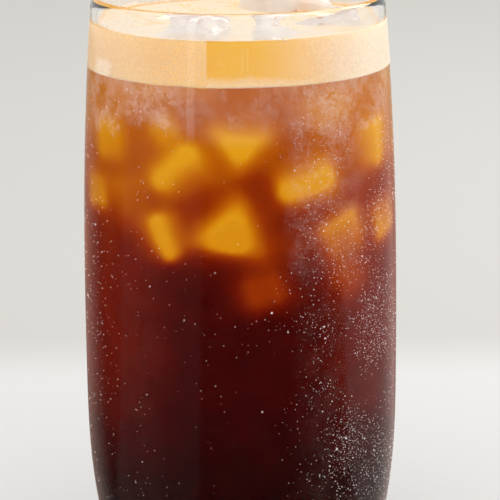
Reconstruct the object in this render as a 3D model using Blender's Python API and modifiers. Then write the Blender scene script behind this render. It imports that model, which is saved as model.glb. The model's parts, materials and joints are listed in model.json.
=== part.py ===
"""Iced americano in a clear barrel-sided tumbler.

The drink stands on the XY plane with its axis on Z. Sizes are in metres.
Pieces: the glass, the coffee in it, the foam layer on the coffee, and the
ice cubes that float through the foam.
"""

import math
import random

import bmesh
import bpy
from mathutils import Euler, Vector

# Driving sizes of the glass
GLASS_HEIGHT = 0.140
RIM_RADIUS = 0.0341
BELLY_RADIUS = 0.0375
BELLY_HEIGHT = 0.050
FOOT_RADIUS = 0.0315
UPPER_POWER = 2.5
LOWER_POWER = 2.9
HEEL_RADIUS = 0.005
RIM_WALL = 0.0017
BELLY_WALL = 0.0020
FLOOR_HEIGHT = 0.0095
BOWL_HEIGHT = 0.020
BOWL_POWER = 2.3

# Driving sizes of the drink
GAP = 0.0003
FOAM_BOTTOM = 0.1238
FOAM_TOP = 0.1335
FOAM_WAVE = 0.00022
# Waves of the foam's top: radians per metre along X and along Y, and the phase
FOAM_WAVES = ((310, 0, 1.3), (0, 270, -0.6), (150, -150, 2.1))
CREEP_HEIGHT = 0.0005
CREEP_WIDTH = 0.0028
CLING_HEIGHT = 0.0006
CLING_ANGLE = math.radians(187)
CLING_SPREAD = math.radians(26)

# How finely the turned shapes are cut
TURN_STEPS = 60
SIDE_STEPS = 8
OUTSIDE_STEPS = 12
HEEL_STEPS = 3
RIM_STEPS = 6
BOWL_STEPS = 6
FOAM_RINGS = 6
RING_POWER = 0.7
FOAM_SIDE_STEPS = 4

# Floating ice: name, edge, centre, turn in degrees about X, Y and Z
ICE_CUBES = (
    ("ice_front_left", 0.0160, (-0.0094, -0.0208, 0.1280), (12, -6, -22)),
    ("ice_front_right", 0.0118, (0.0074, -0.0230, 0.1292), (20, 24, 4)),
    ("ice_back", 0.0190, (0.0108, 0.0175, 0.1280), (-10, 10, 28)),
    ("ice_right", 0.0170, (0.0218, -0.0025, 0.1268), (8, -14, -4)),
)
CORNER_DRIFT = 0.07
MELT_SHARE = 0.20
MELT_SEGMENTS = 3
ICE_SEED = 11

MERGE = 0.00002


def clear_scene():
    """Empty the file, so that only the drink is left in it."""
    for found in list(bpy.data.objects):
        bpy.data.objects.remove(found)


def collection(name):
    made = bpy.data.collections.new(name)
    bpy.context.scene.collection.children.link(made)
    return made


def finish(name, colour, roughness, transmission=0.0, ior=1.45):
    """A Principled finish in the piece's own colour."""
    made = bpy.data.materials.new(name)
    made.use_nodes = True
    shader = made.node_tree.nodes["Principled BSDF"]
    shader.inputs["Base Color"].default_value = (*colour, 1.0)
    shader.inputs["Roughness"].default_value = roughness
    shader.inputs["Metallic"].default_value = 0.0
    shader.inputs["Transmission Weight"].default_value = transmission
    shader.inputs["IOR"].default_value = ior
    return made


def outer_radius(height):
    """Radius of the glass's outer side, without the rounding of heel and rim."""
    if height >= BELLY_HEIGHT:
        share = (height - BELLY_HEIGHT) / (GLASS_HEIGHT - BELLY_HEIGHT)
        return BELLY_RADIUS - (BELLY_RADIUS - RIM_RADIUS) * share**UPPER_POWER
    share = (BELLY_HEIGHT - height) / BELLY_HEIGHT
    return BELLY_RADIUS - (BELLY_RADIUS - FOOT_RADIUS) * share**LOWER_POWER


def wall(height):
    """Thickness of the glass's side, which grows from the rim down to the belly."""
    share = (GLASS_HEIGHT - height) / (GLASS_HEIGHT - BELLY_HEIGHT)
    return RIM_WALL + (BELLY_WALL - RIM_WALL) * min(1.0, share)


def inner_radius(height):
    """Radius of the hollow, whose lower end is rounded like a bowl."""
    side = outer_radius(height) - wall(height)
    bowl_top = FLOOR_HEIGHT + BOWL_HEIGHT
    if height >= bowl_top:
        return side
    share = (bowl_top - height) / BOWL_HEIGHT
    return side * max(0.0, 1.0 - share**BOWL_POWER) ** (1.0 / BOWL_POWER)


def steps(start, end, count):
    """Evenly spaced numbers from start to end, both included."""
    return [start + (end - start) * n / count for n in range(count + 1)]


def bowl_heights():
    """Heights up the rounded end of the hollow, closer together near its floor."""
    angles = steps(0.0, math.pi / 2, BOWL_STEPS)
    return [FLOOR_HEIGHT + BOWL_HEIGHT * (1.0 - math.cos(a)) for a in angles]


def hollow_side(top, inset=0.0):
    """Points (radius, height) from the middle of the floor up the hollow's side to top."""
    bowl = bowl_heights()
    middle = (0.0, FLOOR_HEIGHT + inset)
    rounded = [(inner_radius(z) - inset, z + inset) for z in bowl[1:]]
    straight = steps(bowl[-1], top, SIDE_STEPS)[1:]
    return [middle] + rounded + [(inner_radius(z) - inset, z) for z in straight]


def rim_arc():
    """The rounded lip, from its inner edge over the top to its outer edge."""
    radius = RIM_WALL / 2
    middle = (RIM_RADIUS - radius, GLASS_HEIGHT - radius)
    angles = steps(math.pi, 0.0, RIM_STEPS)
    return [(middle[0] + radius * math.cos(a), middle[1] + radius * math.sin(a)) for a in angles]


def heel_arc():
    """The rounded lower corner, from the outer side to the flat that the glass stands on."""
    middle = (outer_radius(HEEL_RADIUS) - HEEL_RADIUS, HEEL_RADIUS)
    angles = steps(0.0, -math.pi / 2, HEEL_STEPS)
    return [
        (middle[0] + HEEL_RADIUS * math.cos(a), middle[1] + HEEL_RADIUS * math.sin(a))
        for a in angles
    ]


def turned(name, profile, material, into):
    """A solid turned about Z from a profile that ends on the axis at both ends."""
    mesh = bpy.data.meshes.new(name)
    edges = [(n, n + 1) for n in range(len(profile) - 1)]
    mesh.from_pydata([(r, 0.0, z) for r, z in profile], edges, [])
    made = bpy.data.objects.new(name, mesh)
    into.objects.link(made)
    screw = made.modifiers.new("turn", "SCREW")
    screw.steps = TURN_STEPS
    screw.render_steps = TURN_STEPS
    screw.use_merge_vertices = True
    screw.merge_threshold = MERGE
    screw.use_smooth_shade = True
    made.data.materials.append(material)
    return made


def as_mesh(source):
    """Turn an object's modifiers into its own mesh, so that its points can be moved."""
    bpy.context.view_layer.update()
    graph = bpy.context.evaluated_depsgraph_get()
    mesh = bpy.data.meshes.new_from_object(source.evaluated_get(graph))
    source.modifiers.clear()
    source.data = mesh


def glass(into):
    lip = rim_arc()
    heel = heel_arc()
    inside = hollow_side(lip[0][1])[:-1]
    side_heights = steps(lip[-1][1], heel[0][1], OUTSIDE_STEPS)[1:-1]
    outside = [(outer_radius(z), z) for z in side_heights]
    profile = inside + lip + outside + heel + [(0.0, 0.0)]
    return turned("glass", profile, finish("clear_glass", (0.94, 0.96, 0.95), 0.03, 1.0, 1.5), into)


def coffee(into):
    side = hollow_side(FOAM_BOTTOM - GAP, GAP)
    profile = [(0.0, FOAM_BOTTOM - GAP)] + side[::-1]
    return turned("coffee", profile, finish("black_coffee", (0.10, 0.02, 0.008), 0.1), into)


def foam_relief(place):
    """How far the foam's top stands above its mean level: low waves and the creep up the glass."""
    waves = sum(math.sin(x * place.x + y * place.y + phase) for x, y, phase in FOAM_WAVES)
    reach = inner_radius(FOAM_TOP) - GAP
    from_glass = max(0.0, reach - math.hypot(place.x, place.y))
    creep = math.exp(-((from_glass / CREEP_WIDTH) ** 2))
    turn = math.remainder(math.atan2(place.y, place.x) - CLING_ANGLE, math.tau)
    cling = CLING_HEIGHT * math.exp(-((turn / CLING_SPREAD) ** 2))
    return FOAM_WAVE * waves * (1.0 - creep) + (CREEP_HEIGHT + cling) * creep


def foam(into):
    """The foam layer, whose side follows the glass and whose top is uneven."""
    reach = inner_radius(FOAM_TOP) - GAP
    top = [(reach * share**RING_POWER, FOAM_TOP) for share in steps(0.0, 1.0, FOAM_RINGS)]
    side = [(inner_radius(z) - GAP, z) for z in steps(FOAM_TOP, FOAM_BOTTOM, FOAM_SIDE_STEPS)[1:]]
    colour = finish("coffee_foam", (0.90, 0.62, 0.30), 0.6)
    made = turned("crema", top + side + [(0.0, FOAM_BOTTOM)], colour, into)
    as_mesh(made)
    for point in made.data.vertices:
        if point.co.z > FOAM_TOP - MERGE:
            point.co.z += foam_relief(point.co)
    return made


def ice_cube(name, edge, centre, turn, material, into, random_source):
    """A cube with drifted corners and edges rounded by melting."""
    mesh = bpy.data.meshes.new(name)
    shape = bmesh.new()
    bmesh.ops.create_cube(shape, size=edge)
    for corner in shape.verts:
        corner.co += Vector(random_source.uniform(-1, 1) for _ in range(3)) * CORNER_DRIFT * edge
    shape.to_mesh(mesh)
    shape.free()
    made = bpy.data.objects.new(name, mesh)
    into.objects.link(made)
    made.location = centre
    made.rotation_euler = Euler([math.radians(a) for a in turn])
    bevel = made.modifiers.new("melt", "BEVEL")
    bevel.width = MELT_SHARE * edge
    bevel.segments = MELT_SEGMENTS
    made.data.shade_smooth()
    made.data.materials.append(material)
    return made


def pocket_cutter(cube, into):
    """The cube's shape grown by the gap, which leaves its pocket in foam and coffee."""
    made = cube.copy()
    made.data = cube.data.copy()
    made.name = cube.name + "_pocket"
    into.objects.link(made)
    grow = made.modifiers.new("grow", "DISPLACE")
    grow.strength = GAP
    grow.mid_level = 0.0
    made.hide_render = True
    made.display_type = "WIRE"
    return made


def cut(body, cutter):
    pocket = body.modifiers.new(cutter.name, "BOOLEAN")
    pocket.operation = "DIFFERENCE"
    pocket.solver = "EXACT"
    pocket.object = cutter


def build():
    clear_scene()
    drink = collection("iced_americano")
    cutters = collection("cutters")
    glass(drink)
    liquid = coffee(drink)
    layer = foam(drink)
    frozen = finish("ice", (0.93, 0.95, 0.97), 0.08, 0.9, 1.31)
    random_source = random.Random(ICE_SEED)
    for name, edge, centre, turn in ICE_CUBES:
        cube = ice_cube(name, edge, centre, turn, frozen, drink, random_source)
        pocket = pocket_cutter(cube, cutters)
        cut(liquid, pocket)
        cut(layer, pocket)


build()
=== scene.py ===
"""Iced americano in a barrel tumbler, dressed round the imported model.

Every piece is made by its own operator. Sizes are in metres, angles in
degrees where a name says so, and turn 0 is the side that faces -Y.
"""

import json
import math
import random

import bmesh
import bpy
from bpy.props import (
    FloatProperty,
    FloatVectorProperty,
    IntProperty,
    PointerProperty,
)
from bpy.types import Operator, Panel, PropertyGroup
from mathutils import Euler, Matrix, Vector, noise
from mathutils.bvhtree import BVHTree

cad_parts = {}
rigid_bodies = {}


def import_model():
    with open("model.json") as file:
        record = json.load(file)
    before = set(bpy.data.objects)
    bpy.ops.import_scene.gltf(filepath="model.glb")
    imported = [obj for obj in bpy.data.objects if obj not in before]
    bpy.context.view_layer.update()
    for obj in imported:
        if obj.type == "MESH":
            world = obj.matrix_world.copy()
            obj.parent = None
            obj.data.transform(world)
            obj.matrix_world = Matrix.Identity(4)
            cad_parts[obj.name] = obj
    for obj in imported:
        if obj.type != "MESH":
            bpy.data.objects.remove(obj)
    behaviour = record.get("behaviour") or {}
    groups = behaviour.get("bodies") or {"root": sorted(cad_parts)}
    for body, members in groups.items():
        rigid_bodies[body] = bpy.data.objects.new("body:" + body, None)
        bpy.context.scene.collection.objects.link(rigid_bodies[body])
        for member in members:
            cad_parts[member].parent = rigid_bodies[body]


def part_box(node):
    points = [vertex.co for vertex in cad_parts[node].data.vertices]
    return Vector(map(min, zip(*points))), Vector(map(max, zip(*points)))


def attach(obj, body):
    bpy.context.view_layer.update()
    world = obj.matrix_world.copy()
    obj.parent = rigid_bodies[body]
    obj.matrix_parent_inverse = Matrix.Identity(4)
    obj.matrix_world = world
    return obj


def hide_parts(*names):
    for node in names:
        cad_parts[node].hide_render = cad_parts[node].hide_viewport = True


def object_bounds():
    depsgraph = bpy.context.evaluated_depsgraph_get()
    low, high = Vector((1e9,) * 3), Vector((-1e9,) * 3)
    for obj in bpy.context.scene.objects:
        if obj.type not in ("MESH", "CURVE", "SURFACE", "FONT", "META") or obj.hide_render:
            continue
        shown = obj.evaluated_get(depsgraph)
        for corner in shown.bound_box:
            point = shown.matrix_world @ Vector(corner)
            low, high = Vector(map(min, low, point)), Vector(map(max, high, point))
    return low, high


bl_info = {
    "name": "Iced Americano",
    "version": (1, 0, 0),
    "blender": (4, 5, 0),
    "location": "3D View > Sidebar > Iced Drink",
    "description": "Makes a tumbler of iced coffee with foam, ice and dew",
    "category": "Add Mesh",
}

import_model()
CAD_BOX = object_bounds()
FOAM_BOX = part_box("crema")
MM = 0.001

# The glass's own curve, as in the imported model
BELLY_HEIGHT = 0.050
FOOT_RADIUS = 0.0315
UPPER_POWER = 2.5
LOWER_POWER = 2.9
HEEL_RADIUS = 0.005
RIM_WALL = 0.0017
BELLY_WALL = 0.0020
FLOOR_HEIGHT = 0.0095
BOWL_HEIGHT = 0.020
BOWL_POWER = 2.3
BELLY_RADIUS = CAD_BOX[1].x

# The foam's top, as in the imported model
FOAM_TOP = 0.1335
FOAM_WAVE = 0.00022
FOAM_WAVES = ((310, 0, 1.3), (0, 270, -0.6), (150, -150, 2.1))
CREEP_HEIGHT = 0.0005
CREEP_WIDTH = 0.0028
CLING_HEIGHT = 0.0006
CLING_ANGLE = math.radians(187)
CLING_SPREAD = math.radians(26)

# How far a piece that fills the glass reaches into its wall
COFFEE_REACH = 0.00008
FOAM_REACH = 0.00013

# Floating ice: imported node, piece, edge, centre, turn in degrees
FLOATING_ICE = (
    ("ice_front_left", "float_cube_front_left", 0.0160, (-0.0094, -0.0208, 0.1280), (12, -6, -22)),
    ("ice_front_right", "float_cube_front_right", 0.0118, (0.0074, -0.0230, 0.1292), (20, 24, 4)),
    ("ice_back", "float_cube_back", 0.0190, (0.0108, 0.0175, 0.1280), (-10, 10, 28)),
    ("ice_right", "float_cube_right", 0.0170, (0.0218, -0.0025, 0.1268), (8, -14, -4)),
)
CORNER_DRIFT = 0.07
FLOATING_SEED = 11

# Sunk ice that shows through the coffee: turn and height of the part nearest
# the wall, how far that is melted flat on the glass (below nothing is a gap),
# edge, roll of the front face, how far that face leans away, and towards where.
# Angles are in degrees, sizes in millimetres.
SUNK_ICE = (
    (-24.3, 104.9, -0.2, 14.5, 45, 33, -45),
    (0.2, 110.0, 1.3, 11.5, 40, 54.7, 85),
    (27.8, 101.2, 0.8, 14.5, 14, 46, 112),
    (-3.6, 90.2, 2.2, 16.5, 33, 54.7, -102),
    (-29.2, 89.4, 0.1, 12.0, -68, 50, -155),
    (7.0, 76.9, -3.0, 10.0, 15, 4, 0),
    (38.3, 89.6, -1.3, 12.0, 20, 12, -60),
    (63.5, 107.4, -0.3, 12.0, 90, 33, 180),
    (-61.0, 109.3, -1.7, 10.0, 5, 14, 0),
    (-66.0, 94.4, -1.4, 9.5, 10, 12, 90),
    (-28.5, 111.8, -2.0, 7.0, 40, 10, 90),
    (67.0, 86.6, -1.5, 11.0, 15, 14, 90),
    (41.5, 77.6, -3.5, 9.5, 40, 6, 0),
    (-46.5, 96.8, -3.2, 13.0, 25, 10, 0),
    (32.0, 115.0, -3.2, 10.0, 30, 12, 60),
    (19.5, 86.6, -4.2, 8.0, 20, 12, 0),
)
MELT_GAP = 0.0003


def outer_radius(height):
    """Radius of the glass's outer side, without the rounding of heel and rim."""
    settings = bpy.context.scene.tumbler
    if height >= BELLY_HEIGHT:
        share = (height - BELLY_HEIGHT) / (settings.height - BELLY_HEIGHT)
        return BELLY_RADIUS - (BELLY_RADIUS - settings.rim_radius) * share**UPPER_POWER
    share = (BELLY_HEIGHT - height) / BELLY_HEIGHT
    return BELLY_RADIUS - (BELLY_RADIUS - FOOT_RADIUS) * share**LOWER_POWER


def wall(height):
    """Thickness of the glass's side, which grows from the rim down to the belly."""
    top = bpy.context.scene.tumbler.height
    share = (top - height) / (top - BELLY_HEIGHT)
    return RIM_WALL + (BELLY_WALL - RIM_WALL) * min(1.0, share)


def inner_radius(height):
    """Radius of the hollow, whose lower end is rounded like a bowl."""
    side = outer_radius(height) - wall(height)
    bowl_top = FLOOR_HEIGHT + BOWL_HEIGHT
    if height >= bowl_top:
        return side
    share = (bowl_top - height) / BOWL_HEIGHT
    return side * max(0.0, 1.0 - share**BOWL_POWER) ** (1.0 / BOWL_POWER)


def steps(start, end, count):
    """Evenly spaced numbers from start to end, both included."""
    return [start + (end - start) * n / count for n in range(count + 1)]


def bowl_heights(count):
    """Heights up the rounded end of the hollow, closer together near its floor."""
    angles = steps(0.0, math.pi / 2, count)
    return [FLOOR_HEIGHT + BOWL_HEIGHT * (1.0 - math.cos(a)) for a in angles]


def turn_of(place):
    """Degrees round the glass from the front, growing towards +X."""
    return math.degrees(math.atan2(place.x, -place.y))


def on_wall(turn, height, radius):
    """The point at that turn and height, that far from the axis."""
    angle = math.radians(turn)
    return Vector((radius * math.sin(angle), -radius * math.cos(angle), height))


def foam_relief(place):
    """How far the foam's top stands above its mean level."""
    waves = sum(math.sin(x * place.x + y * place.y + phase) for x, y, phase in FOAM_WAVES)
    from_glass = max(0.0, inner_radius(FOAM_TOP) - math.hypot(place.x, place.y))
    creep = math.exp(-((from_glass / CREEP_WIDTH) ** 2))
    turn = math.remainder(math.atan2(place.y, place.x) - CLING_ANGLE, math.tau)
    cling = CLING_HEIGHT * math.exp(-((turn / CLING_SPREAD) ** 2))
    return FOAM_WAVE * waves * (1.0 - creep) + (CREEP_HEIGHT + cling) * creep


class Graph:
    """Puts nodes into one tree and joins them."""

    def __init__(self, tree):
        self.tree = tree

    def node(self, kind, **settings):
        made = self.tree.nodes.new(kind)
        for name, value in settings.items():
            setattr(made, name, value)
        return made

    def feed(self, socket, value):
        """Join an output to this input, or set the input to a plain value."""
        if isinstance(value, bpy.types.NodeSocket):
            self.tree.links.new(value, socket)
        else:
            socket.default_value = value

    def call(self, kind, inputs, output=0, **settings):
        """Add a node, feed its inputs by name or number, and give one output."""
        made = self.node(kind, **settings)
        for name, value in inputs.items():
            self.feed(made.inputs[name], value)
        return made.outputs[output]

    def maths(self, operation, first, second=0.0, kind="ShaderNodeMath"):
        return self.call(kind, {0: first, 1: second}, operation=operation)

    def vector(self, operation, first, second=(0.0, 0.0, 0.0)):
        return self.call("ShaderNodeVectorMath", {0: first, 1: second}, operation=operation)

    def ranged(self, value, low, high, start=0.0, end=1.0, curve="SMOOTHSTEP"):
        inputs = {"Value": value, "From Min": low, "From Max": high, "To Min": start, "To Max": end}
        return self.call("ShaderNodeMapRange", inputs, interpolation_type=curve)

    def mixed(self, share, first, second):
        """Two colours mixed by a share."""
        inputs = {0: share, 6: first, 7: second}
        return self.call("ShaderNodeMix", inputs, 2, data_type="RGBA")

    def mixed_value(self, share, first, second):
        """Two values mixed by a share."""
        return self.call("ShaderNodeMix", {0: share, 2: first, 3: second}, data_type="FLOAT")

    def noisy(self, place, scale, detail=3.0, roughness=0.55):
        inputs = {"Vector": place, "Scale": scale, "Detail": detail, "Roughness": roughness}
        return self.call("ShaderNodeTexNoise", inputs)

    def ramp(self, value, stops):
        """A colour ramp through (place, colour) stops."""
        made = self.node("ShaderNodeValToRGB")
        band = made.color_ramp
        while len(band.elements) < len(stops):
            band.elements.new(0.5)
        for element, (place, colour) in zip(band.elements, stops):
            element.position = place
            element.color = (*colour, 1.0)
        self.feed(made.inputs[0], value)
        return made.outputs[0]


def new_group(name, kind, inputs, outputs):
    """A node tree with named sockets, and its inner input and output nodes."""
    tree = bpy.data.node_groups.new(name, kind)
    for title, socket, default in inputs:
        made = tree.interface.new_socket(title, in_out="INPUT", socket_type=socket)
        if default is not None:
            made.default_value = default
    for title, socket in outputs:
        tree.interface.new_socket(title, in_out="OUTPUT", socket_type=socket)
    graph = Graph(tree)
    return graph, graph.node("NodeGroupInput"), graph.node("NodeGroupOutput")


def shader_group(name, build, inputs, outputs):
    """A shader group by that name, built the first time that it is asked for."""
    found = bpy.data.node_groups.get(name)
    if found is None:
        graph, come, go = new_group(name, "ShaderNodeTree", inputs, outputs)
        build(graph, come, go)
        found = graph.tree
    return found


def build_place(graph, come, go):
    """Degrees round from the front, and height in millimetres."""
    split = graph.node("ShaderNodeSeparateXYZ")
    graph.feed(split.inputs[0], come.outputs["Place"])
    away = graph.maths("MULTIPLY", split.outputs["Y"], -1.0)
    angle = graph.maths("ARCTAN2", split.outputs["X"], away)
    graph.feed(go.inputs["Turn"], graph.maths("MULTIPLY", angle, math.degrees(1.0)))
    graph.feed(go.inputs["Height"], graph.maths("DIVIDE", split.outputs["Z"], MM))


def build_band(graph, come, go):
    """One between Start and End, falling to nothing over Soft Start and Soft End."""
    value = come.outputs["Value"]
    low = graph.maths("SUBTRACT", come.outputs["Start"], come.outputs["Soft Start"])
    high = graph.maths("ADD", come.outputs["End"], come.outputs["Soft End"])
    rise = graph.ranged(value, low, come.outputs["Start"])
    fall = graph.ranged(value, come.outputs["End"], high, 1.0, 0.0)
    graph.feed(go.inputs["Mask"], graph.maths("MULTIPLY", rise, fall))


def place_of(graph):
    """Turn and height sockets of the point that is shaded, and its place."""
    inputs = [("Place", "NodeSocketVector", None)]
    outputs = [("Turn", "NodeSocketFloat"), ("Height", "NodeSocketFloat")]
    tree = shader_group("Place on glass", build_place, inputs, outputs)
    made = graph.node("ShaderNodeGroup", node_tree=tree)
    place = graph.node("ShaderNodeTexCoord").outputs["Object"]
    graph.feed(made.inputs["Place"], place)
    return made.outputs["Turn"], made.outputs["Height"], place


def band(graph, value, start, end, soft_start, soft_end=None):
    """A soft mask of the values from start to end."""
    names = ("Value", "Start", "End", "Soft Start", "Soft End")
    inputs = [(name, "NodeSocketFloat", 0.0) for name in names]
    tree = shader_group("Soft band", build_band, inputs, [("Mask", "NodeSocketFloat")])
    made = graph.node("ShaderNodeGroup", node_tree=tree)
    values = (value, start, end, soft_start, soft_start if soft_end is None else soft_end)
    for name, fed in zip(names, values):
        graph.feed(made.inputs[name], fed)
    return made.outputs["Mask"]


def material(name, **values):
    """A Principled material with those plain values, its graph and its shader."""
    made = bpy.data.materials.new(name)
    made.use_nodes = True
    shader = made.node_tree.nodes["Principled BSDF"]
    for title, value in values.items():
        shader.inputs[title.replace("_", " ")].default_value = value
    return made, Graph(made.node_tree), shader


def surface_of(made):
    return made.node_tree.nodes["Material Output"].inputs["Surface"]


def let_light_through(made, graph, shader, rays=("Is Shadow Ray", "Is Diffuse Ray")):
    """Let lamp and bounce rays cross a see-through shader without bending."""
    path = graph.node("ShaderNodeLightPath")
    share = graph.maths("MAXIMUM", path.outputs[rays[0]], path.outputs[rays[1]])
    clear = graph.node("ShaderNodeBsdfTransparent")
    both = graph.node("ShaderNodeMixShader")
    graph.feed(both.inputs[0], share)
    graph.feed(both.inputs[1], shader.outputs[0])
    graph.feed(both.inputs[2], clear.outputs[0])
    graph.feed(surface_of(made), both.outputs[0])


def bumped(graph, shader, height, strength, distance):
    inputs = {"Height": height, "Strength": strength, "Distance": distance}
    graph.feed(shader.inputs["Normal"], graph.call("ShaderNodeBump", inputs))


def new_piece(name, mesh):
    made = bpy.data.objects.new(name, mesh)
    bpy.context.scene.collection.objects.link(made)
    return made


def plain_mesh(source):
    """Turn an object's modifiers into its own mesh, with one finish."""
    graph = bpy.context.evaluated_depsgraph_get()
    mesh = bpy.data.meshes.new_from_object(source.evaluated_get(graph))
    source.modifiers.clear()
    source.data = mesh
    finishes = [found for found in mesh.materials if found is not None]
    mesh.materials.clear()
    for finish in finishes[:1]:
        mesh.materials.append(finish)
    mesh.polygons.foreach_set("material_index", [0] * len(mesh.polygons))


def face_outwards(piece):
    """Close doubled points and turn every face of a closed piece outwards."""
    shape = bmesh.new()
    shape.from_mesh(piece.data)
    bmesh.ops.remove_doubles(shape, verts=shape.verts, dist=2e-6)
    bmesh.ops.recalc_face_normals(shape, faces=shape.faces)
    shape.to_mesh(piece.data)
    shape.free()


def run_nodes(piece, tree, values):
    """Run a Geometry Nodes tree on a piece with named inputs, and keep its mesh."""
    modifier = piece.modifiers.new("nodes", "NODES")
    modifier.node_group = tree
    for item in tree.interface.items_tree:
        if item.item_type == "SOCKET" and item.in_out == "INPUT" and item.name in values:
            modifier[item.identifier] = values[item.name]
    plain_mesh(piece)


def settle(piece, slot, *nodes):
    """Attach a finished piece to the root body and hide the imported parts that it stands for.
    slot: not used.
    """
    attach(piece, "root")
    if nodes:
        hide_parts(*nodes)


def turned_tree():
    """Geometry Nodes that turn a profile of points round Z."""
    inputs = [
        ("Profile", "NodeSocketGeometry", None),
        ("Turn Steps", "NodeSocketInt", 96),
        ("Merge Distance", "NodeSocketFloat", 0.000002),
        ("Material", "NodeSocketMaterial", None),
    ]
    found = bpy.data.node_groups.get("Turned shape")
    if found is not None:
        return found
    graph, come, go = new_group(
        "Turned shape", "GeometryNodeTree", inputs, [("Shape", "NodeSocketGeometry")]
    )
    count = graph.call("GeometryNodeAttributeDomainSize", {"Geometry": come.outputs["Profile"]})
    rows = graph.maths("SUBTRACT", count, 1.0)
    turns = come.outputs["Turn Steps"]
    grid = graph.node("GeometryNodeMeshGrid")
    graph.feed(grid.inputs["Size X"], turns)
    graph.feed(grid.inputs["Size Y"], rows)
    graph.feed(grid.inputs["Vertices X"], graph.maths("ADD", turns, 1.0))
    graph.feed(grid.inputs["Vertices Y"], count)
    flat = graph.node("ShaderNodeSeparateXYZ")
    graph.feed(flat.inputs[0], graph.node("GeometryNodeInputPosition").outputs[0])
    share = graph.maths("ADD", graph.maths("DIVIDE", flat.outputs["X"], turns), 0.5)
    row = graph.maths("ADD", flat.outputs["Y"], graph.maths("MULTIPLY", rows, 0.5))
    row = graph.call("FunctionNodeFloatToInt", {0: row}, rounding_mode="ROUND")
    sample = graph.node("GeometryNodeSampleIndex", data_type="FLOAT_VECTOR", domain="POINT")
    graph.feed(sample.inputs["Geometry"], come.outputs["Profile"])
    graph.feed(sample.inputs["Value"], graph.node("GeometryNodeInputPosition").outputs[0])
    graph.feed(sample.inputs["Index"], row)
    point = graph.node("ShaderNodeSeparateXYZ")
    graph.feed(point.inputs[0], sample.outputs[0])
    angle = graph.maths("MULTIPLY", share, math.tau)
    across = graph.maths("MULTIPLY", point.outputs["X"], graph.maths("COSINE", angle))
    along = graph.maths("MULTIPLY", point.outputs["X"], graph.maths("SINE", angle))
    inputs = {"X": across, "Y": along, "Z": point.outputs["Z"]}
    place = graph.call("ShaderNodeCombineXYZ", inputs)
    marked = graph.call(
        "GeometryNodeStoreNamedAttribute",
        {"Geometry": grid.outputs["Mesh"], "Name": "UVMap", "Value": grid.outputs["UV Map"]},
        data_type="FLOAT2",
        domain="CORNER",
    )
    bent = graph.call("GeometryNodeSetPosition", {"Geometry": marked, "Position": place})
    inputs = {"Geometry": bent, "Distance": come.outputs["Merge Distance"]}
    closed = graph.call("GeometryNodeMergeByDistance", inputs)
    smooth = graph.call("GeometryNodeSetShadeSmooth", {"Geometry": closed})
    whole = graph.call("GeometryNodeRealizeInstances", {"Geometry": smooth})
    inputs = {"Geometry": whole, "Material": come.outputs["Material"]}
    graph.feed(go.inputs[0], graph.call("GeometryNodeSetMaterial", inputs))
    return graph.tree


def turned(name, profile, turn_steps, finish, closed=True):
    """A piece turned about Z from (radius, height) points."""
    mesh = bpy.data.meshes.new(name)
    edges = [(n, n + 1) for n in range(len(profile) - 1)]
    mesh.from_pydata([(r, 0.0, z) for r, z in profile], edges, [])
    piece = new_piece(name, mesh)
    run_nodes(piece, turned_tree(), {"Turn Steps": turn_steps, "Material": finish})
    if closed:
        face_outwards(piece)
    return piece


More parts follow.
